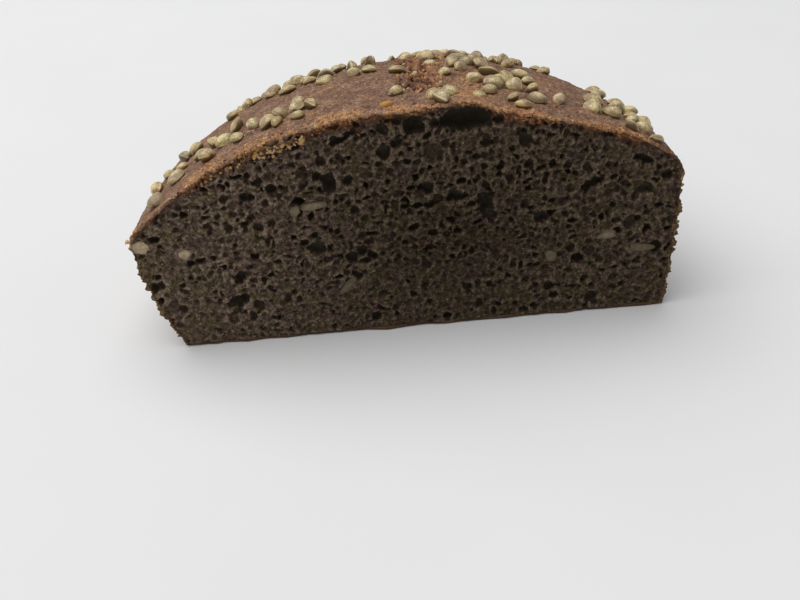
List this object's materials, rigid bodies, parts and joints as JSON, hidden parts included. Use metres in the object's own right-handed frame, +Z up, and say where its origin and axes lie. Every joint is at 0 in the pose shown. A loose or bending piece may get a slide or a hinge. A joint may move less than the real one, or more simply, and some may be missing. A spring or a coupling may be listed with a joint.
{
  "type": "sliced hemp bread",
  "caption": "Half of a dark oval hemp loaf, cut straight across to show its open crumb, with a domed seeded crust and a flat base.",
  "frame": {"origin": "on the floor, under the middle of the loaf's box", "axes": "+X across the cut face to the right as seen from the cut, +Y from the cut towards the far end, +Z up"},
  "size_m": [0.12, 0.086, 0.0546],
  "materials": {
    "crust": "matt baked crust, purple-brown with rust-brown torn places",
    "crumb": "matt porous grey-brown crumb",
    "hemp_seed": "smooth dull-gloss shell, pale olive with darker veins",
    "kernel": "matt cut kernel, pale beige"
  },
  "bodies": {
    "root": {"loaf": "crust"}
  },
  "joints": []
}
